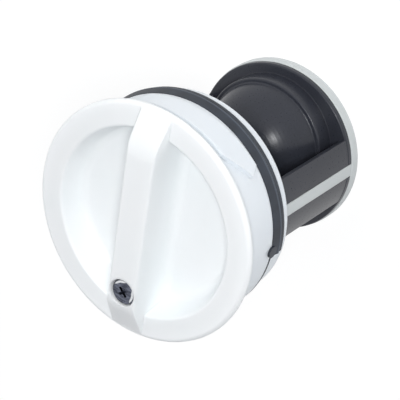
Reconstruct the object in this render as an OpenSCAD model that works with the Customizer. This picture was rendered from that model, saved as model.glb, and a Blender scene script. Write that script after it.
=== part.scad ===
// Drain pump filter of a washing machine.
// It stands on its rear hoop with the knob up. The origin is on the axis in the rest plane,
// +Z points to the knob and +Y to the window in the basket's wall.

/* [Knob] */
// Diameter over the knob's edge
knob_d = 70; // [68:0.5:80]
// Thickness of the knob's edge
edge_t = 1.5; // [1.2:0.1:3]
// Rounding of the front corner of the edge
edge_round = 1.3; // [0.6:0.1:1.4]
// Diameter of the finger recesses at the rim face
recess_d = 55.4; // [50:0.2:56]
// Depth of the finger recesses
recess_h = 7.5; // [5:0.5:9]
// How far the recess wall leans in from the rim to the floor
recess_lean = 2.4; // [1:0.1:3]
// Rounding where the recess wall meets the rim face
recess_round = 0.8; // [0.3:0.1:1.2]
// Fillet round the recess floor and along the foot of the grip bar
foot_fillet = 2.8; // [1:0.1:3]
// Thickness of the recess floor
knob_floor = 2.2; // [1.6:0.1:3]
// Depth of the knob's spigot below the recess floor
spigot_drop = 4; // [3:0.5:5]

/* [Grip bar] */
// Width of the grip bar over its top
grip_w = 9.2; // [9:0.1:12]
// Height of the grip bar above the rim face
grip_rise = 5.2; // [3:0.1:6]
// Length of the flat top of the grip bar, before its ends are bent
grip_flat = 48.4; // [44:0.2:52]
// Rounding of the long top edges of the grip bar
grip_round = 0.8; // [0.3:0.1:1.2]
// Radius of the bends at the ends of the flat top
grip_bend = 12; // [2:0.5:16]
// Draft of the bar's sides, in degrees
grip_draft = 2.5; // [0:0.5:4]
// Wall over the core of the grip bar
grip_wall = 2.2; // [1.8:0.1:2.6]

/* [Screw] */
// Distance of the screw from the axis
screw_off = 20; // [18:0.5:21]
// Diameter of the screw's head
head_d = 7.5; // [6:0.1:7.8]
// Height of the screw's head
head_h = 2.4; // [1.8:0.1:3]
// Depth of the head below the top of the bar
head_sink = 0.7; // [0.3:0.1:1.5]
// Diameter over the screw's thread
thread_d = 3.9; // [3:0.1:4.2]
// Length of the screw below its head
screw_l = 20; // [18:0.5:22]
// Length of the arms of the cross recess
cross_l = 4.4; // [3:0.1:5]
// Width of the arms of the cross recess
cross_w = 0.9; // [0.6:0.1:1.2]

/* [Plug body] */
// Diameter of the skirt that carries the bayonet lugs
skirt_d = 63.6; // [62:0.2:66]
// Length of the skirt from the seal to the knob
skirt_h = 14.5; // [13:0.5:18]
// Wall of the plug body
plug_wall = 2; // [1.8:0.1:2.6]
// Diameter of the flange behind the seal
plug_flange_d = 61.2; // [60:0.2:61.6]
// Thickness of the flange behind the seal
plug_flange_h = 3.6; // [3:0.1:5]
// Thickness of the plug's rear wall
plug_floor = 2.6; // [2.4:0.1:3.5]
// Length of the spigot that enters the basket
plug_spigot_h = 4; // [3:0.5:5]

/* [Bayonet lugs] */
// How far the lugs stand out from the skirt
lug_out = 1.5; // [1:0.1:2]
// Angle that a lug spans
lug_span = 68; // [50:1:75]
// Angle from +X to the tip of the first lug
lug_start = 40; // [35:1:45]
// Distance from the seal to the lowest point of a lug's rear edge
lug_gap = 1.5; // [1:0.1:3]
// Rise of the rear edge over the lug's span
lug_ramp = 3.2; // [0.5:0.1:4]
// Axial width of a lug where it is widest
lug_w = 9.5; // [7:0.1:10]
// Distance of the tip from the lowest point of the rear edge
lug_tip = 3.2; // [2:0.1:5]
// Sideways run of the tip's slanted rear side for each millimetre of its height
lug_slant = 0.8; // [0.3:0.1:1.5]
// Sideways run of the tip's front side
lug_back = 9; // [3:0.5:12]

/* [Seal] */
// Width of the seal along the axis
seal_w = 5.4; // [4.5:0.1:7]
// Depth of the seal's groove below the skirt
groove_depth = 3; // [2.4:0.1:3.2]
// Height of the front lip's crest above the seal's rear face
crest_h = 2.3; // [2:0.1:2.6]
// How far the front lip stands out from the skirt
lip_out = 0.8; // [0.4:0.1:1.2]
// Thickness of the web that closes the ring where the lips are left out
web_t = 0.9; // [0.6:0.1:1.5]
// Angle from +X to the end of the lips, measured clockwise seen from the knob
gap_start = 4; // [0:1:10]
// Angle over which the lips are left out
gap_span = 44; // [30:1:60]
// Radius of the half-round key tab that lies on the skirt
tab_r = 1.7; // [1:0.1:2]

/* [Basket] */
// Angle from +X to the rib on that side, about which the basket and the cage are turned
basket_turn = 5.5; // [0:0.5:8]
// Outer diameter of the basket's wall
basket_d = 46.8; // [45:0.2:48]
// Thickness of the basket's wall
basket_wall = 2; // [1.6:0.1:2.4]
// Length of the basket from the hoop to the plug
basket_l = 42; // [38:0.5:50]
// How far the two pads of the wall that carry the ribs lie inside the flange's edge
pad_step = 0.1; // [0.1:0.1:0.8]
// Angle that a pad spans
pad_span = 47.8; // [30:0.2:50]
// How far the basket's rear flange lies inside the hoop's outside
flange_step = 0.3; // [0.1:0.1:0.5]
// Thickness of the basket's rear flange
flange_t = 1.7; // [1.4:0.1:2.5]
// Angle from the first rib to the start of the window
window_start = 21.6; // [20:0.2:23.8]
// Angle that the window spans
window_span = 136.8; // [110:0.2:138]
// Length of the closed ring in front of the window
ring_h = 5; // [4.5:0.5:7]
// Diameter of the raised boss inside the basket
boss_d = 38.8; // [36:0.2:39]
// Height of the boss above the rear face of the flange
boss_h = 7.6; // [5:0.1:8]
// Offset of the boss towards the window
boss_off = 3.6; // [1:0.1:3.6]
// Rounding of the boss's front corner
boss_round = 0.5; // [0.4:0.1:0.6]
// Diameter of the dome on the boss
dome_d = 36; // [34:0.2:36]
// Height of the dome above the boss
dome_h = 14; // [13:0.2:15]
// Fillet between the dome and the boss
dome_fillet = 0.5; // [0.4:0.1:0.6]
// Number of drain slots in the wall opposite the window
slot_count = 7; // [3:1:7]
// Width of a drain slot
slot_w = 3; // [2:0.1:3.5]
// Angle between drain slots
slot_pitch = 15; // [12:0.5:15]

/* [Cage] */
// Outer diameter of the rear hoop
hoop_d = 52.2; // [52.2:0.2:55]
// Thickness of the hoop's wall
hoop_wall = 3.7; // [3.6:0.1:5]
// Height of the rear hoop
hoop_h = 3.4; // [3:0.1:6]
// Rounding of the hoop's outer edges
hoop_round = 0.4; // [0.2:0.1:0.8]
// Width of a rib
rib_w = 3.8; // [3:0.1:6]
// Thickness of a rib
rib_t = 1.2; // [0.8:0.1:1.4]
// Depth of a rib's tip in the plug
tip_h = 1.5; // [1:0.1:1.7]

/* [Fits] */
// Clearance between pieces that are pushed together
fit = 0.1; // [0.05:0.05:0.2]

/* [Hidden] */

$fn = 96;
eps = 0.01;

// Radii
knob_r = knob_d / 2;
recess_r = recess_d / 2;
skirt_r = skirt_d / 2;
groove_r = skirt_r - groove_depth;
bore_r = skirt_r - plug_wall;
knob_spigot_r = bore_r - fit;
cup_r = groove_r - plug_wall;
plug_flange_r = plug_flange_d / 2;
basket_r = basket_d / 2;
basket_in_r = basket_r - basket_wall;
plug_spigot_r = basket_in_r - fit;
hoop_r = hoop_d / 2;
flange_r = hoop_r - flange_step;
pad_r = flange_r - pad_step;
pad_in_r = pad_r - basket_wall;
rib_in_r = flange_r - rib_t;
hoop_in_r = hoop_r - hoop_wall;
boss_r = boss_d / 2;
dome_r = dome_d / 2;

// Heights above the rest plane
plug_z = hoop_h + basket_l;
seal_z = plug_z + plug_flange_h;
skirt_z = seal_z + seal_w;
knob_z = skirt_z + skirt_h;
face_z = knob_z + edge_t;
floor_z = face_z - recess_h;
under_z = floor_z - knob_floor;
spigot_z = under_z - spigot_drop;
top_z = face_z + grip_rise;
head_z = top_z - head_sink;
seat_z = head_z - head_h;
core_z = top_z - grip_wall;
flange_z = hoop_h + flange_t;
boss_z = hoop_h + boss_h;
window_z = plug_z - ring_h;
cup_z = plug_z + plug_floor;

// Knob and grip bar
lean = atan(recess_lean / recess_h);
knob_wall_r = knob_spigot_r - plug_wall;
bar_end = knob_r - edge_round;
bar_half = grip_w / 2;
core_half = bar_half - grip_wall;
slope = atan(grip_rise / (bar_end - grip_flat / 2));
bend_y = grip_flat / 2 - grip_bend * tan(slope / 2);
head_gap = 0.35;
seat_wall = 1;
counterbore_r = head_d / 2 + head_gap;
seat_half = counterbore_r + seat_wall;
core_end = knob_wall_r - grip_wall;
foot_stop = 10;

// Plug body
boss_wall = 2.2;
screw_boss_r = thread_d / 2 + boss_wall;
thread_gap = 0.05;
hole_spare = 0.5;
drive_gap = 0.2;
spigot_gap = 0.3;
step_fall = 1;

// Screw
head_round = 1.1;
cross_h = 1.2;
tip_taper = 1;
tip_l = 2;

// Seal
seal_gap = 0.05;
gap_end = -gap_start - gap_span;
block_gap = 0.5;
front_round = 0.3;
rear_round = 0.5;
valley_w = 0.3;
front_step = 0.15;
front_turn = 15;

// Basket
pad_side = 4.7;
pocket_end = window_start + 5;
dome_ball_r = (dome_r * dome_r + dome_h * dome_h) / (2 * dome_h);
dome_z = boss_z + dome_h - dome_ball_r;
shell_t = 1.8;
dome_steps = 20;
pole_angle = 88;
flange_round = 0.5;
slot_low = flange_z + 4;
slot_high = window_z - 3;
opposite_window = 270;

// Points of an arc about a centre, from one angle to another
function arc(c, r, from, to, n = 10) =
    [for (i = [0:n]) c + r * [cos(from + (to - from) * i / n), sin(from + (to - from) * i / n)]];

// Sideways distance from a leaning wall's corner to the centre of its fillet
function set_back(r, a) = r * (1 - sin(a)) / cos(a);

// Plane sector between two angles, reaching out past a radius
module sector(from, to, r) {
    reach = 1.1 * r / cos((to - from) / 4);
    middle = (from + to) / 2;
    polygon([[0, 0], for (a = [from, middle, to]) reach * [cos(a), sin(a)]]);
}

// Ring of rectangular section
module ring(r_in, r_out, z0, z1) {
    translate([0, 0, z0])
        difference() {
            cylinder(r = r_out, h = z1 - z0);
            translate([0, 0, -1])
                cylinder(r = r_in, h = z1 - z0 + 2);
        }
}

// The same thing at 0 and at 180 degrees
module twice() {
    for (a = [0, 180])
        rotate(a)
            children();
}

// The same thing on the +X side and mirrored on the -X side
module both_sides() {
    children();
    mirror([1, 0, 0])
        children();
}

// Knob blank: the edge with its rounded front corner, and the spigot behind it
module knob_blank() {
    rotate_extrude()
        polygon(concat(
            [[0, spigot_z], [knob_spigot_r, spigot_z], [knob_spigot_r, knob_z], [knob_r, knob_z]],
            arc([knob_r - edge_round, face_z - edge_round], edge_round, 0, 90),
            [[0, face_z]]));
}

// Space of both finger recesses, as one round dish
module recess_dish() {
    foot_r = recess_r - recess_lean;
    rotate_extrude()
        polygon(concat(
            [[0, floor_z]],
            arc([foot_r - set_back(foot_fillet, lean), floor_z + foot_fillet],
                foot_fillet, -90, -lean),
            arc([recess_r + set_back(recess_round, lean), face_z - recess_round],
                recess_round, 180 - lean, 90),
            [[recess_r + set_back(recess_round, lean), face_z + 1], [0, face_z + 1]]));
}

// Half of the bar's cross-section, from its foot on the recess floor to its rounded top
function bar_side() =
    let (spread = tan(grip_draft),
         foot = bar_half + (top_z - floor_z) * spread)
    concat(
        arc([foot + set_back(foot_fillet, -grip_draft) + foot_fillet * spread, floor_z + foot_fillet],
            foot_fillet, 270 - foot_stop, 180 + grip_draft),
        arc([bar_half - set_back(grip_round, -grip_draft), top_z - grip_round],
            grip_round, grip_draft, 90, 6));

module grip_bar() {
    side = bar_side();
    low_z = floor_z - knob_floor / 2;
    edge_z = knob_z + edge_t / 2;
    foot_x = side[0][0];
    mirrored = [for (i = [len(side) - 1:-1:0]) [-side[i][0], side[i][1]]];
    intersection() {
        rotate([90, 0, 0])
            linear_extrude(2 * knob_r, center = true)
                polygon(concat([[foot_x, low_z]], side, mirrored, [[-foot_x, low_z]]));
        rotate([90, 0, 90])
            linear_extrude(2 * knob_r, center = true)
                polygon(concat(
                    [[-knob_wall_r, low_z], [knob_wall_r, low_z], [knob_wall_r, edge_z],
                     [bar_end, edge_z], [bar_end, face_z]],
                    arc([bend_y, top_z - grip_bend], grip_bend, 90 - slope, 90, 6),
                    arc([-bend_y, top_z - grip_bend], grip_bend, 90, 90 + slope, 6),
                    [[-bar_end, face_z], [-bar_end, edge_z], [-knob_wall_r, edge_z]]));
        cylinder(r = bar_end, h = top_z + 1);
    }
}

// Hollow behind the recess floor, and the core of the grip bar
module knob_hollow() {
    translate([0, 0, spigot_z - 1])
        cylinder(r = knob_wall_r, h = under_z - spigot_z + 1);
    translate([-core_half, seat_half - screw_off, under_z - 1])
        cube([2 * core_half, core_end + screw_off - seat_half, core_z - under_z + 1]);
}

module knob() {
    color("white")
        difference() {
            union() {
                difference() {
                    knob_blank();
                    recess_dish();
                }
                grip_bar();
            }
            knob_hollow();
            translate([0, -screw_off, seat_z])
                cylinder(r = counterbore_r, h = top_z);
            translate([0, -screw_off, under_z - 1])
                cylinder(r = thread_d / 2 + 2 * fit, h = seat_z - under_z + 2);
        }
}

// One bayonet lug. It is bounded by its ring, by the ramped outline seen along its middle radius,
// and by the pointed outline seen along the radius at its end.
module lug() {
    reach = skirt_r + lug_out;
    half_w = reach * sin(lug_span / 2);
    low_z = skirt_z + lug_gap;
    tip_z = low_z + lug_tip;
    high_z = low_z + lug_w;
    intersection() {
        translate([0, 0, skirt_z])
            linear_extrude(skirt_h)
                difference() {
                    intersection() {
                        circle(r = reach);
                        sector(lug_start - 1, lug_start + lug_span, reach);
                    }
                    circle(r = skirt_r - plug_wall / 2);
                }
        rotate([90, 0, lug_start + lug_span / 2 + 90])
            linear_extrude(knob_d, center = true)
                polygon([
                    [-half_w, low_z], [half_w, low_z + lug_ramp], [half_w, high_z], [-half_w, high_z]]);
        rotate([90, 0, lug_start + 90])
            linear_extrude(knob_d, center = true)
                polygon([
                    [0, tip_z], [lug_tip * lug_slant, low_z], [knob_d, low_z],
                    [knob_d, high_z], [lug_back, high_z]]);
    }
}

// Turned outline of the plug body: spigot, flange, seal groove, skirt and the cup inside it
module plug_shell() {
    spigot_in_r = plug_spigot_r - plug_wall;
    step_z = spigot_z - spigot_gap;
    rotate_extrude()
        polygon([
            [0, plug_z], [spigot_in_r, plug_z], [spigot_in_r, plug_z - plug_spigot_h],
            [plug_spigot_r, plug_z - plug_spigot_h], [plug_spigot_r, plug_z],
            [plug_flange_r, plug_z], [plug_flange_r, seal_z], [groove_r, seal_z],
            [groove_r, skirt_z], [skirt_r, skirt_z], [skirt_r, knob_z], [bore_r, knob_z],
            [bore_r, step_z], [cup_r, step_z - step_fall], [cup_r, cup_z], [0, cup_z]]);
}

// Block that fills the groove where the seal has no lips
module groove_block() {
    translate([0, 0, seal_z - eps])
        linear_extrude(skirt_z - web_t - fit - seal_z + eps)
            difference() {
                intersection() {
                    circle(r = plug_flange_r);
                    sector(gap_end + block_gap, -gap_start - block_gap, plug_flange_r);
                }
                circle(r = groove_r - plug_wall / 2);
            }
}

// Rib on the rear wall that fits the core of the grip bar, so that the knob turns the plug
module drive_rib() {
    half = core_half - drive_gap;
    start = seat_half - screw_off + drive_gap;
    translate([-half, start, cup_z - eps])
        cube([2 * half, core_end - drive_gap - start, core_z - drive_gap - cup_z + eps]);
}

// Section of both ribs, with a margin all round
module rib_sections(margin) {
    half = rib_w / 2 + margin;
    both_sides()
        intersection() {
            translate([0, -half])
                square([hoop_d, 2 * half]);
            difference() {
                circle(r = flange_r + margin);
                circle(r = rib_in_r - margin);
            }
        }
}

module plug_body() {
    color("whitesmoke")
        difference() {
            union() {
                plug_shell();
                groove_block();
                drive_rib();
                twice()
                    lug();
                translate([0, -screw_off, cup_z - eps])
                    cylinder(r = screw_boss_r, h = under_z - fit - cup_z + eps);
            }
            translate([0, -screw_off, seat_z - screw_l - hole_spare])
                cylinder(r = thread_d / 2 + thread_gap, h = screw_l);
            translate([0, 0, plug_z - eps])
                rotate(basket_turn)
                    linear_extrude(tip_h + fit + eps)
                        rib_sections(fit);
        }
}

// Turned outline of the seal: a flared front lip, a valley and a smaller rear lip
module seal_section() {
    in_r = groove_r + seal_gap;
    low_z = seal_z + seal_gap;
    high_z = skirt_z - seal_gap;
    crest_z = low_z + crest_h;
    valley_z = crest_z - front_round;
    lip_r = skirt_r + lip_out;
    rear_r = skirt_r + lip_out / 2;
    rotate_extrude()
        polygon(concat(
            [[in_r, low_z]],
            arc([rear_r - rear_round, low_z + rear_round], rear_round, -90, 0, 5),
            [[rear_r, valley_z - 2 * valley_w], [skirt_r, valley_z - valley_w], [skirt_r, valley_z]],
            arc([lip_r - front_round, crest_z], front_round, -90, front_turn, 6),
            [[skirt_r + front_step, high_z], [in_r, high_z]]));
}

module seal_ring() {
    tab_z = skirt_z - seal_gap;
    lip_r = skirt_r + lip_out;
    color("darkslategray")
        union() {
            difference() {
                seal_section();
                translate([0, 0, seal_z - 1])
                    linear_extrude(seal_w - web_t + 1)
                        sector(gap_end, -gap_start, knob_r);
                translate([0, 0, seal_z])
                    linear_extrude(seal_w + 1)
                        difference() {
                            sector(gap_end, -gap_start, knob_r);
                            circle(r = skirt_r);
                        }
            }
            intersection() {
                ring(skirt_r + seal_gap, lip_r - 0.1, tab_z - 2 * tab_r, tab_z + 2 * tab_r);
                rotate(asin(0.9 * tab_r / lip_r) - gap_start)
                    translate([groove_r, 0, tab_z])
                        rotate([0, 90, 0])
                            cylinder(r = tab_r, h = knob_r - groove_r);
            }
        }
}

// Cross-section of the basket's wall, with the pads that stand out on both sides
module wall_section() {
    difference() {
        union() {
            circle(r = basket_r);
            both_sides()
                intersection() {
                    circle(r = pad_r);
                    sector(-pad_span / 2, pad_span / 2, pad_r);
                }
        }
        circle(r = basket_in_r);
    }
}

// Wall of the basket with its window, and the closed ring in front of it. The pads are hollow
// beside the window, so the wall keeps its thickness there.
module basket_wall_ring() {
    difference() {
        translate([0, 0, flange_z - eps])
            linear_extrude(plug_z - flange_z + eps)
                wall_section();
        translate([0, 0, flange_z])
            linear_extrude(window_z - flange_z) {
                sector(window_start, window_start + window_span, pad_r);
                both_sides()
                    intersection() {
                        circle(r = pad_in_r);
                        sector(pad_side - pad_span / 2, pocket_end, pad_r);
                    }
            }
    }
}

// Rear flange with its slightly rounded front corner
module basket_flange() {
    rotate_extrude()
        polygon(concat(
            [[0, hoop_h], [flange_r, hoop_h]],
            arc([flange_r - flange_round, flange_z - flange_round], flange_round, 0, 90, 4),
            [[0, flange_z]]));
}

// Boss with the dome on it. The boss's corner is rounded and a fillet leads up to the dome.
module boss_and_dome() {
    fillet_z = boss_z + dome_fillet;
    reach = dome_ball_r + dome_fillet;
    fillet_r = sqrt(reach * reach - (fillet_z - dome_z) * (fillet_z - dome_z));
    low_angle = asin((fillet_z - dome_z) / reach);
    translate([0, boss_off, 0])
        rotate_extrude()
            polygon(concat(
                [[0, hoop_h], [boss_r, hoop_h]],
                arc([boss_r - boss_round, boss_z - boss_round], boss_round, 0, 90, 5),
                arc([fillet_r, fillet_z], dome_fillet, 270, 180 + low_angle, 5),
                arc([0, dome_z], dome_ball_r, low_angle, pole_angle, dome_steps),
                [[0, dome_z + dome_ball_r * sin(pole_angle)]]));
}

// Hollow behind the boss and the dome
module boss_hollow() {
    ledge_z = boss_z - shell_t;
    ball_r = dome_ball_r - shell_t;
    low_angle = asin((ledge_z - dome_z) / ball_r);
    translate([0, boss_off, 0])
        rotate_extrude()
            polygon(concat(
                [[0, hoop_h - 1], [boss_r - shell_t, hoop_h - 1], [boss_r - shell_t, ledge_z]],
                arc([0, dome_z], ball_r, low_angle, pole_angle, dome_steps),
                [[0, dome_z + ball_r * sin(pole_angle)]]));
}

// Drain slot with round ends, along +X
module drain_slot() {
    half = slot_w / 2;
    translate([basket_in_r - 1, 0, 0])
        rotate([90, 0, 90])
            linear_extrude(basket_wall + 2)
                polygon(concat(
                    arc([0, slot_high - half], half, 0, 180, 8),
                    arc([0, slot_low + half], half, 180, 360, 8)));
}

module basket() {
    color("#3b3a40")
        rotate(basket_turn)
            difference() {
                union() {
                    basket_wall_ring();
                    basket_flange();
                    boss_and_dome();
                }
                boss_hollow();
                for (i = [0:slot_count - 1])
                    rotate(opposite_window + (i - (slot_count - 1) / 2) * slot_pitch)
                        drain_slot();
                translate([0, 0, hoop_h - 1])
                    linear_extrude(plug_z)
                        rib_sections(fit);
            }
}

module cage() {
    color("gainsboro")
        rotate(basket_turn)
            union() {
                rotate_extrude()
                    polygon(concat(
                        [[hoop_in_r, 0]],
                        arc([hoop_r - hoop_round, hoop_round], hoop_round, -90, 0, 4),
                        arc([hoop_r - hoop_round, hoop_h - hoop_round], hoop_round, 0, 90, 4),
                        [[hoop_in_r, hoop_h]]));
                translate([0, 0, hoop_h / 2])
                    linear_extrude(plug_z + tip_h - hoop_h / 2)
                        rib_sections(0);
            }
}

// Pan-head screw, turned, with a cross recess in its head
module knob_screw() {
    head_r = head_d / 2;
    thread_r = thread_d / 2;
    color("dimgray")
        translate([0, -screw_off, seat_z])
            difference() {
                rotate_extrude()
                    polygon(concat(
                        [[0, -screw_l], [thread_r - tip_taper, -screw_l],
                         [thread_r, tip_l - screw_l], [thread_r, 0], [head_r, 0]],
                        arc([head_r - head_round, head_h - head_round], head_round, 0, 90, 6),
                        [[0, head_h]]));
                for (a = [45, 135])
                    rotate(a)
                        translate([-cross_l / 2, -cross_w / 2, head_h - cross_h])
                            cube([cross_l, cross_w, head_h]);
            }
}

knob();
plug_body();
seal_ring();
basket();
cage();
knob_screw();
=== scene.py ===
"""Drain pump filter of a washing machine, standing on its rear hoop, seen past the basket at the knob."""

import bmesh
import bpy
from math import cos, pi, radians, sin
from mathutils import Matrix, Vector


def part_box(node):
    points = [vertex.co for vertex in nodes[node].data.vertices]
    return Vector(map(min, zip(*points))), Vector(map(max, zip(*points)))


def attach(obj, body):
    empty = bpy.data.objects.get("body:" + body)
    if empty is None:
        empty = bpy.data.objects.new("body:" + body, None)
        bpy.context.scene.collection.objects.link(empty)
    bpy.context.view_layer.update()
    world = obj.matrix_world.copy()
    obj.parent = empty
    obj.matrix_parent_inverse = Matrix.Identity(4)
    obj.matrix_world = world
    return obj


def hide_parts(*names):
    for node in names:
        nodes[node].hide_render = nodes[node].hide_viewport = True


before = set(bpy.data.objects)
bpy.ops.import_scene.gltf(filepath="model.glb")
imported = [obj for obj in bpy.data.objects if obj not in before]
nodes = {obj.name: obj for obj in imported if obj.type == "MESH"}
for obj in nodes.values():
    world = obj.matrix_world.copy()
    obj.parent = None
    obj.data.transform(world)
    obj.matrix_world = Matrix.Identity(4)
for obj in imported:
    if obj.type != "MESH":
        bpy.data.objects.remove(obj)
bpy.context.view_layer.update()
mm = 0.001


# Camera: a long lens well above the filter, because the photograph was taken from far enough away that
# the circles of the knob and of the rear hoop show nearly the same perspective.

camera_place = (226.4 * mm, 247.6 * mm, 419.7 * mm)
camera_turn_deg = (-24.60, 34.99, 9.39)
lens_mm = 162
sensor_mm = 36
near_clip = 10 * mm

bpy.ops.object.camera_add(location=camera_place, rotation=[radians(turn) for turn in camera_turn_deg])
camera = bpy.context.object
camera.name = "camera"
camera.data.lens = lens_mm
camera.data.sensor_width = sensor_mm
camera.data.clip_start = near_clip
bpy.context.scene.camera = camera


# Studio: a white table under one soft key lamp, with white card all round it. The card stands nearer on
# one side, where it lights the skirt and the far end of the grip bar. The table is painted board.


def srgb(code):
    """A hex colour such as "F2F5F6" as the linear colour that a socket takes."""
    channels = [int(code[i : i + 2], 16) / 255 for i in (0, 2, 4)]
    return [c / 12.92 if c < 0.04045 else ((c + 0.055) / 1.055) ** 2.4 for c in channels] + [1]


def add_node(tree, kind, inputs=(), **settings):
    """Adds a node with its settings, and fills its inputs with plain values or other nodes' outputs."""
    node = tree.nodes.new("ShaderNode" + kind)
    for name, value in settings.items():
        setattr(node, name, value)
    for name, value in dict(inputs).items():
        if isinstance(value, bpy.types.NodeSocket):
            tree.links.new(value, node.inputs[name])
        else:
            node.inputs[name].default_value = value
    return node


def new_material(name):
    """A new material with an empty node tree, and that tree."""
    material = bpy.data.materials.new(name)
    material.use_nodes = True
    material.node_tree.nodes.clear()
    return material, material.node_tree


def white_seen(tree):
    """1 for the rays that should meet plain white: from the camera, off gloss and through glass."""
    path = add_node(tree, "LightPath")
    seen = path.outputs["Is Camera Ray"]
    for ray in ("Is Glossy Ray", "Is Transmission Ray"):
        seen = add_node(tree, "Math", {0: seen, 1: path.outputs[ray]}, operation="MAXIMUM").outputs[0]
    return seen


def dress(piece, material):
    """Gives a piece its one material."""
    piece.data.materials.clear()
    piece.data.materials.append(material)


white = srgb("FFFFFF")
table_colour = srgb("F4F4F4")
table_size = 6
table_own_light = 1.09
table_shadow_share = 0.2

bpy.ops.mesh.primitive_plane_add(size=table_size)
table = bpy.context.object
table.name = "table"
painted_board, tree = new_material("painted white board")
board = add_node(tree, "BsdfDiffuse", {"Color": table_colour})
glow = add_node(tree, "Emission", {"Color": white, "Strength": table_own_light})
lit = add_node(tree, "MixShader", {0: table_shadow_share, 1: glow.outputs[0], 2: board.outputs[0]})
mixed = add_node(tree, "MixShader", {0: white_seen(tree), 1: board.outputs[0], 2: lit.outputs[0]})
add_node(tree, "OutputMaterial", {"Surface": mixed.outputs[0]})
dress(table, painted_board)

card_shade = srgb("F0F4FA")
card_light = 0.34
near_card_light = 1.25
near_card_side = Vector((-0.62, 0.78, 0.05)).normalized()
background_white = 1

world = bpy.data.worlds.new("white card")
bpy.context.scene.world = world
world.use_nodes = True
tree = world.node_tree
tree.nodes.clear()
way = add_node(tree, "TexCoord").outputs["Generated"]
side = add_node(tree, "VectorMath", {0: way, 1: near_card_side}, operation="DOT_PRODUCT").outputs["Value"]
nearness = add_node(tree, "MapRange", {0: side, 3: card_light, 4: near_card_light})
tint = add_node(tree, "Mix", {0: side, 6: card_shade, 7: white}, data_type="RGBA")
card = add_node(tree, "Background", {"Color": tint.outputs[2], "Strength": nearness.outputs[0]})
bare = add_node(tree, "Background", {"Color": white, "Strength": background_white})
mixed = add_node(tree, "MixShader", {0: white_seen(tree), 1: card.outputs[0], 2: bare.outputs[0]})
add_node(tree, "OutputWorld", {"Surface": mixed.outputs[0]})

key_direction = Vector((0.477, 0.418, 0.772)).normalized()
key_aim = Vector((0, 0, 40 * mm))
key_distance = 0.6
key_size = 0.14
key_power = 1.84
key_colour = (0.98, 0.99, 1)

bpy.ops.object.light_add(type="AREA", location=key_aim + key_direction * key_distance)
key = bpy.context.object
key.name = "key lamp"
key.data.shape = "DISK"
key.data.size = key_size
key.data.energy = key_power
key.data.color = key_colour
key.rotation_euler = key_direction.to_track_quat("Z", "Y").to_euler()

bpy.context.scene.view_settings.view_transform = "Standard"


# Knob: the cover that is turned by hand, one injection moulding in white polypropylene. Light enters it
# and comes out again a little further on, so its edges look soft and its finger recesses glow.

knob_white = srgb("F8FCFD")
knob_shade = srgb("F2F7F8")
ripple_mm = 14
ripple_height = 0.08 * mm
ripple_strength = 0.5
ripple_detail = 3
grain_mm = 0.5
grain_strength = 0.6
grain_detail = 2
gloss_spread = 0.05
edge_samples = 8
light_depth = 1.2 * mm
plastic_ior = 1.49


def moulded_plastic(name, pale, deep, roughness, grain_um, edge_mm, translucency=0, ior=plastic_ior):
    """Moulded plastic: rounded edges, cloudy colour and flow ripples over centimetres, and the grain of
    the mould, which spreads the gloss and is drawn coarser than the real one so that it shows. Light
    enters a translucent one to a depth of about a millimetre."""
    material, tree = new_material(name)
    place = add_node(tree, "TexCoord").outputs["Object"]
    clouds = add_node(tree, "TexNoise", {"Vector": place, "Scale": 1 / (ripple_mm * mm),
                                         "Detail": ripple_detail})
    colour = add_node(tree, "Mix", {0: clouds.outputs[0], 6: pale, 7: deep}, data_type="RGBA")
    fine = add_node(tree, "TexNoise", {"Vector": place, "Scale": 1 / (grain_mm * mm),
                                       "Detail": grain_detail})
    sheen = add_node(tree, "MapRange", {0: fine.outputs[0], 3: roughness - gloss_spread,
                                        4: roughness + gloss_spread})
    rounded = add_node(tree, "Bevel", {"Radius": edge_mm * mm}, samples=edge_samples)
    swell = add_node(tree, "Bump", {"Height": clouds.outputs[0], "Distance": ripple_height,
                                    "Strength": ripple_strength, "Normal": rounded.outputs[0]})
    pores = add_node(tree, "Bump", {"Height": fine.outputs[0], "Distance": grain_um / 1000 * mm,
                                    "Strength": grain_strength, "Normal": swell.outputs[0]})
    shader = add_node(tree, "BsdfPrincipled", {"Base Color": colour.outputs[2], "IOR": ior,
                                               "Roughness": sheen.outputs[0], "Normal": pores.outputs[0],
                                               "Subsurface Weight": translucency,
                                               "Subsurface Radius": (1, 1, 1),
                                               "Subsurface Scale": light_depth})
    add_node(tree, "OutputMaterial", {"Surface": shader.outputs[0]})
    return material


knob_plastic = moulded_plastic("white polypropylene, satin mould", knob_white, knob_shade,
                               roughness=0.55, grain_um=6, edge_mm=0.6, translucency=0.8)
dress(nodes["knob"], knob_plastic)


# Plug body: the skirt with its bayonet lugs, in a second white polypropylene that is a touch bluer and
# glossier than the knob's. It turns with the knob, because a rib inside it fits the core of the grip bar.

body_white = srgb("EAEEF1")
body_shade = srgb("E1E6EB")

body_plastic = moulded_plastic("white polypropylene, bluish", body_white, body_shade,
                               roughness=0.4, grain_um=8, edge_mm=0.3, translucency=0.4)
dress(nodes["plug_body"], body_plastic)


# Basket: the lint catcher, black polypropylene off a polished mould, so that the dome mirrors the lamp
# softly. Its IOR is set below the real 1.49, because the white card mirrored in it would otherwise
# outshine the photograph's studio.

basket_black = srgb("2F3138")
basket_shade = srgb("34363E")
basket_ior = 1.38

basket_plastic = moulded_plastic("black polypropylene, polished mould", basket_black, basket_shade,
                                 roughness=0.29, grain_um=2, edge_mm=0.35, ior=basket_ior)
dress(nodes["basket"], basket_plastic)


# Cage: the hoop and ribs round the basket, in a greyer natural polypropylene. Its matt mould leaves a
# deeper grain, so it shows an even, pale grey beside the white of the knob.

cage_grey = srgb("D2D6D5")
cage_shade = srgb("C9CDCD")

cage_plastic = moulded_plastic("natural polypropylene, matt mould", cage_grey, cage_shade,
                               roughness=0.45, grain_um=12, edge_mm=0.25, translucency=0.3)
dress(nodes["cage"], cage_plastic)


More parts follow.
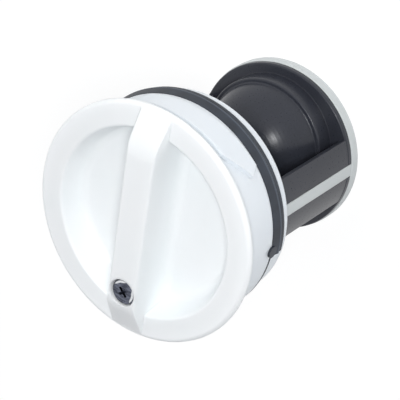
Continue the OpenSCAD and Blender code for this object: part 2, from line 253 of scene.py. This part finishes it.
# Seal ring: EPDM rubber, compression moulded and satin, stretched over the plug body into its groove. A
# pale bloom lies on it in clouds of some millimetres. The parting line of its mould runs round as a thin
# ridge, with a painted highlight along it: a paler colour standing in for the light caught on its crest.
# Its pores are drawn coarser than the real ones, so that they show.

rubber_dark = srgb("21262F")
rubber_bloom = srgb("2C333E")
# The next colour is the paler one of the painted highlight along the parting ridge
rubber_highlight = srgb("565E6A")
rubber_ior = 1.52
rubber_satin = (0.45, 0.6)
bloom_mm = 6
bloom_detail = 4
bloom_span = (0.4, 0.7)
pore_mm = 0.3
pore_depth = 0.02 * mm
pore_detail = 2
parting_share = 0.36
parting_half_w = 0.12 * mm
parting_end_w = 0.3 * mm
parting_height = 0.1 * mm
parting_highlight_share = 0.6
relief_strength = 0.6

seal_low, seal_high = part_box("seal_ring")
parting_z = seal_low[2] + parting_share * (seal_high[2] - seal_low[2])

rubber, tree = new_material("EPDM rubber, moulded")
place = add_node(tree, "TexCoord").outputs["Object"]
clouds = add_node(tree, "TexNoise", {"Vector": place, "Scale": 1 / (bloom_mm * mm), "Detail": bloom_detail})
bloom = add_node(tree, "MapRange", {0: clouds.outputs[0], 1: bloom_span[0], 2: bloom_span[1]})
body = add_node(tree, "Mix", {0: bloom.outputs[0], 6: rubber_dark, 7: rubber_bloom}, data_type="RGBA")
height = add_node(tree, "SeparateXYZ", {0: place}).outputs["Z"]
above = add_node(tree, "Math", {0: height, 1: parting_z}, operation="SUBTRACT")
off = add_node(tree, "Math", {0: above.outputs[0]}, operation="ABSOLUTE")
ridge_and_highlight_mask = add_node(tree, "MapRange", {0: off.outputs[0], 1: parting_half_w, 2: parting_end_w, 3: 1, 4: 0})
# Painted highlight: along the parting ridge the colour turns paler, standing in for light caught on its
# crest
painted_highlight = add_node(tree, "Math", {0: ridge_and_highlight_mask.outputs[0], 1: parting_highlight_share}, operation="MULTIPLY")
colour = add_node(tree, "Mix", {0: painted_highlight.outputs[0], 6: body.outputs[2], 7: rubber_highlight}, data_type="RGBA")
fine = add_node(tree, "TexNoise", {"Vector": place, "Scale": 1 / (pore_mm * mm), "Detail": pore_detail})
satin = add_node(tree, "MapRange", {0: fine.outputs[0], 3: rubber_satin[0], 4: rubber_satin[1]})
ridge = add_node(tree, "Bump", {"Height": ridge_and_highlight_mask.outputs[0], "Distance": parting_height,
                                "Strength": relief_strength})
pores = add_node(tree, "Bump", {"Height": fine.outputs[0], "Distance": pore_depth,
                                "Strength": relief_strength, "Normal": ridge.outputs[0]})
shader = add_node(tree, "BsdfPrincipled", {"Base Color": colour.outputs[2], "IOR": rubber_ior,
                                           "Roughness": satin.outputs[0], "Normal": pores.outputs[0]})
add_node(tree, "OutputMaterial", {"Surface": shader.outputs[0]})
dress(nodes["seal_ring"], rubber)


# Knob screw: a pan head screw for plastics in steel, cold headed with a cross recess, its thread rolled,
# and plated dark. It is driven down its counterbore into the plug body, so that only the head is seen.

screw_low, screw_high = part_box("knob_screw")
screw_x = (screw_low[0] + screw_high[0]) / 2
screw_y = (screw_low[1] + screw_high[1]) / 2
screw_top = (screw_x, screw_y, screw_high[2])
head_r = (screw_high[0] - screw_low[0]) / 2
head_h = 2.4 * mm
head_sides = 64
crown_steps_mm = ((0.06, 0.22), (0.13, 0.16), (0.2, 0.1), (0.5, 0.07), (1.0, 0.05))
crown_h = sum(rise_mm for inset_mm, rise_mm in crown_steps_mm) * mm
seat_z = screw_high[2] - head_h
shank_l = seat_z - screw_low[2]
core_r = 1.5 * mm
tip_h = 2.5 * mm
tip_share = 0.4
level_face = 0.9
soft_edge = radians(25)


def nothing_selected():
    """Leaves edit mode and deselects every object, so that an operator acts on the next piece alone."""
    if bpy.context.object and bpy.context.object.mode == "EDIT":
        bpy.ops.object.mode_set(mode="OBJECT")
    bpy.ops.object.select_all(action="DESELECT")


def only_selected(piece):
    """Selects one object alone and makes it the active one."""
    nothing_selected()
    piece.select_set(True)
    bpy.context.view_layer.objects.active = piece


def pick_faces(piece, wanted):
    """Selects the faces of a piece in edit mode for which wanted(face) is true."""
    mesh = bmesh.from_edit_mesh(piece.data)
    bpy.ops.mesh.select_all(action="DESELECT")
    for face in mesh.faces:
        face.select_set(wanted(face))
    bmesh.update_edit_mesh(piece.data)


def combine(piece, other, operation):
    """Cuts another closed mesh out of a piece or adds it to the piece, and deletes the other one."""
    boolean = piece.modifiers.new("boolean", "BOOLEAN")
    boolean.operation = operation
    boolean.object = other
    boolean.solver = "EXACT"
    boolean.use_self = True
    only_selected(piece)
    bpy.ops.object.modifier_apply(modifier=boolean.name)
    only_selected(other)
    bpy.ops.object.delete()


# The pan head with its crowned top, and the shank with its tapered tip

nothing_selected()
bpy.ops.mesh.primitive_cylinder_add(vertices=head_sides, radius=head_r, depth=head_h,
                                    location=(screw_x, screw_y, seat_z + head_h / 2))
screw = bpy.context.object
screw.name = "pan_head_screw"
bpy.ops.object.mode_set(mode="EDIT")
bpy.ops.mesh.select_mode(type="FACE")
pick_faces(screw, lambda face: face.normal.z > level_face)
bpy.ops.transform.translate(value=(0, 0, -crown_h))
for inset_mm, rise_mm in crown_steps_mm:
    bpy.ops.mesh.inset(thickness=inset_mm * mm)
    bpy.ops.transform.translate(value=(0, 0, rise_mm * mm))
pick_faces(screw, lambda face: face.normal.z < -level_face)
bpy.ops.mesh.inset(thickness=head_r - core_r)
bpy.ops.mesh.extrude_region_move(TRANSFORM_OT_translate={"value": (0, 0, tip_h - shank_l)})
bpy.ops.mesh.extrude_region_move(TRANSFORM_OT_translate={"value": (0, 0, -tip_h)})
bpy.ops.transform.resize(value=(tip_share, tip_share, 1))
bpy.ops.object.mode_set(mode="OBJECT")

# The cross recess, cut with a punch of two bars at right angles that taper downwards

cross_l = 4.6 * mm
cross_w = 0.95 * mm
cross_depth = 1.5 * mm
cross_foot = (0.45, 0.75, 1)
cross_turn = pi / 4

nothing_selected()
bpy.ops.mesh.primitive_cube_add(size=1, location=screw_top)
punch = bpy.context.object
punch.dimensions = (cross_l, cross_w, 2 * cross_depth)
bpy.ops.object.transform_apply(location=False, rotation=False, scale=True)
bpy.ops.object.mode_set(mode="EDIT")
pick_faces(punch, lambda face: face.normal.z < -level_face)
bpy.ops.transform.resize(value=cross_foot)
bpy.ops.mesh.select_all(action="SELECT")
bpy.ops.mesh.duplicate()
bpy.ops.transform.rotate(value=pi / 2, orient_axis="Z", center_override=screw_top)
bpy.ops.object.mode_set(mode="OBJECT")
punch.rotation_euler.z = cross_turn
combine(screw, punch, "DIFFERENCE")

# The thread, a triangular ridge wound round the shank and closed at both ends. It starts between two of
# the shank's edges and is cut into triangles, because its union with the shank came out open otherwise.

pitch = 1.4 * mm
ridge_foot_r = core_r - 0.1 * mm
ridge_crest_r = 1.93 * mm
ridge_half_w = 0.35 * mm
ridge_start = radians(2.8)
bare_shank_l = 1 * mm
steps_per_turn = 32

nothing_selected()
bpy.ops.mesh.primitive_circle_add(vertices=3, fill_type="NOTHING",
                                  location=(screw_x, screw_y, screw_low[2] + tip_h))
thread = bpy.context.object
bpy.ops.object.mode_set(mode="EDIT")
mesh = bmesh.from_edit_mesh(thread.data)
corners = ((ridge_foot_r, -ridge_half_w), (ridge_crest_r, 0), (ridge_foot_r, ridge_half_w))
for vert, (out, up) in zip(mesh.verts, corners):
    vert.co = (out * cos(ridge_start), out * sin(ridge_start), up)
bmesh.update_edit_mesh(thread.data)
bpy.ops.object.mode_set(mode="OBJECT")
winding = thread.modifiers.new("winding", "SCREW")
winding.screw_offset = pitch
winding.iterations = int((shank_l - tip_h - bare_shank_l) / pitch)
winding.steps = steps_per_turn
winding.render_steps = steps_per_turn
bpy.ops.object.modifier_apply(modifier=winding.name)
bpy.ops.object.mode_set(mode="EDIT")
bpy.ops.mesh.select_mode(type="EDGE")
bpy.ops.mesh.select_all(action="DESELECT")
bpy.ops.mesh.select_non_manifold()
bpy.ops.mesh.edge_face_add()
bpy.ops.mesh.select_all(action="SELECT")
bpy.ops.mesh.quads_convert_to_tris()
bpy.ops.mesh.normals_make_consistent(inside=False)
bpy.ops.object.mode_set(mode="OBJECT")
combine(screw, thread, "UNION")

only_selected(screw)
bpy.ops.object.transform_apply(location=True, rotation=True, scale=True)
bpy.ops.object.shade_smooth_by_angle(angle=soft_edge)

# The plating shows lighter streaks from handling. On two arcs near the edge of the head a painted
# highlight turns the colour to pale steel, standing in for the glint of the lamp on the rim of the head.
# The scratches are drawn coarser than real ones, so that they show.

plating_dark = srgb("3A3D47")
plating_light = srgb("6B6F7D")
# The pale steel below is the colour of the painted highlight on the rim of the head, where the lamp glints
glint_steel_colour = srgb("DDDFE2")
glint_arcs_deg = (118, -6)
glint_low_r = 2.7 * mm
glint_high_r = 3.5 * mm
glint_reach = 2.5 * mm
glint_fade = 0.2 * mm
streak_mm = 3
streak_turn = radians(40)
streak_squeeze = (1, 5, 1)
streak_span = (0.4, 0.6)
streak_detail = 4
scratch_mm = 0.35
scratch_depth = 0.02 * mm
scratch_strength = 0.5
scratch_detail = 3
steel_gloss = (0.2, 0.38)

steel, tree = new_material("steel, dark plating, painted glints")
place = add_node(tree, "TexCoord").outputs["Object"]
centred = add_node(tree, "Mapping", {"Vector": place, "Location": (-screw_x, -screw_y, 0)}).outputs[0]
level = add_node(tree, "VectorMath", {0: centred, 1: (1, 1, 0)}, operation="MULTIPLY").outputs[0]
radius = add_node(tree, "VectorMath", {0: level}, operation="LENGTH").outputs["Value"]
within = add_node(tree, "MapRange", {0: radius, 1: glint_high_r - glint_fade, 2: glint_high_r, 3: 1, 4: 0})
beyond = add_node(tree, "MapRange", {0: radius, 1: glint_low_r, 2: glint_low_r + glint_fade})
band = add_node(tree, "Math", {0: within.outputs[0], 1: beyond.outputs[0]}, operation="MULTIPLY")
arcs = []
for turn in glint_arcs_deg:
    middle = Vector((cos(radians(turn)), sin(radians(turn)), 0))
    reach = add_node(tree, "VectorMath", {0: level, 1: middle}, operation="DOT_PRODUCT").outputs["Value"]
    arcs.append(add_node(tree, "MapRange", {0: reach, 1: glint_reach, 2: glint_reach + glint_fade}))
either = add_node(tree, "Math", {0: arcs[0].outputs[0], 1: arcs[1].outputs[0]}, operation="MAXIMUM")
# Painted highlight: on two arcs of the rim the colour turns pale, in place of the lamp's glint there
painted_glint_mask = add_node(tree, "Math", {0: band.outputs[0], 1: either.outputs[0]}, operation="MULTIPLY")
drawn = add_node(tree, "Mapping", {"Vector": level, "Rotation": (0, 0, streak_turn),
                                   "Scale": streak_squeeze})
noise = add_node(tree, "TexNoise", {"Vector": drawn.outputs[0], "Scale": 1 / (streak_mm * mm),
                                    "Detail": streak_detail})
streaks = add_node(tree, "MapRange", {0: noise.outputs[0], 1: streak_span[0], 2: streak_span[1]})
dark = add_node(tree, "Mix", {0: streaks.outputs[0], 6: plating_dark, 7: plating_light}, data_type="RGBA")
plating = add_node(tree, "Mix", {0: painted_glint_mask.outputs[0], 6: dark.outputs[2], 7: glint_steel_colour}, data_type="RGBA")
scratches = add_node(tree, "TexNoise", {"Vector": centred, "Scale": 1 / (scratch_mm * mm),
                                        "Detail": scratch_detail})
gloss = add_node(tree, "MapRange", {0: scratches.outputs[0], 3: steel_gloss[0], 4: steel_gloss[1]})
dents = add_node(tree, "Bump", {"Height": scratches.outputs[0], "Distance": scratch_depth,
                                "Strength": scratch_strength})
shader = add_node(tree, "BsdfPrincipled", {"Base Color": plating.outputs[2], "Metallic": 1,
                                           "Roughness": gloss.outputs[0], "Normal": dents.outputs[0]})
add_node(tree, "OutputMaterial", {"Surface": shader.outputs[0]})
dress(screw, steel)
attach(screw, "root")
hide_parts("knob_screw")
